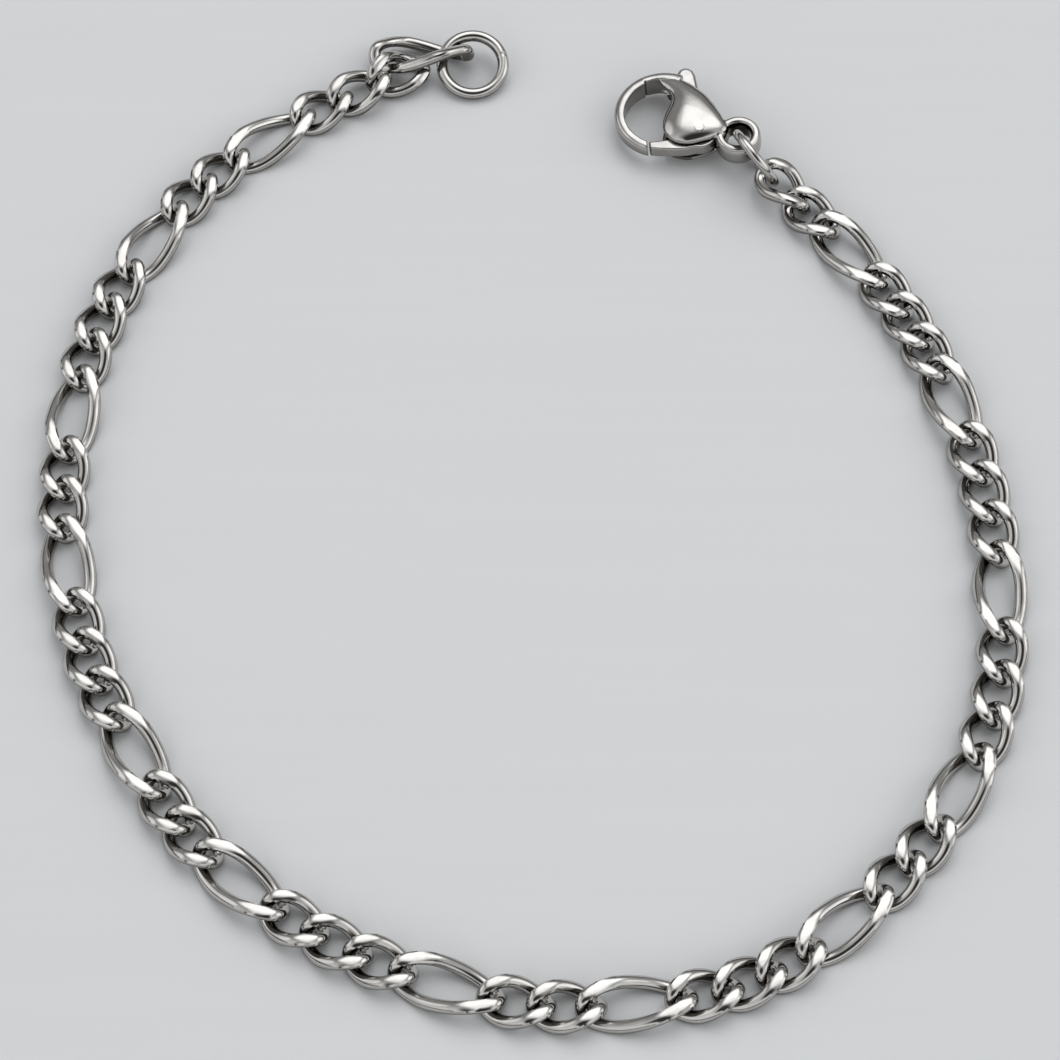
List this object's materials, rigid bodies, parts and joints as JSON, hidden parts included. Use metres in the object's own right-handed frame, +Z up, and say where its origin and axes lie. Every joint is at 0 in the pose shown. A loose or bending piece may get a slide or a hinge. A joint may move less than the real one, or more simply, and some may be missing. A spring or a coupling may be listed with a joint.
{
  "type": "link bracelet",
  "caption": "Flat curb-link bracelet in a figaro pattern, with a lobster clasp on a jump ring at one end and a plain ring at the other, lying open on a surface.",
  "frame": {"origin": "on the surface that the bracelet lies on, under the middle of its box", "axes": "+Z up from the surface, through the loop; +Y across the loop to the side where its two ends lie open"},
  "size_m": [0.0664, 0.0768, 0.0046],
  "materials": {
    "steel": "polished"
  },
  "bodies": {
    "bracelet": {"end_ring": "steel", "chain": "steel", "jump_ring": "steel", "clasp_body": "steel", "pivot_pin": "steel"},
    "lever": {"lever": "steel"}
  },
  "joints": [
    {"name": "lever_hinge", "type": "hinge", "parent": "bracelet", "child": "lever", "pos_m": [0.0123, 0.02884, 0.00167], "axis": [0.0828, -0.0274, -0.9962], "range_deg": [0, 26], "stiffness_Nm_per_rad": 0.002, "springref_deg": -28.65}
  ]
}
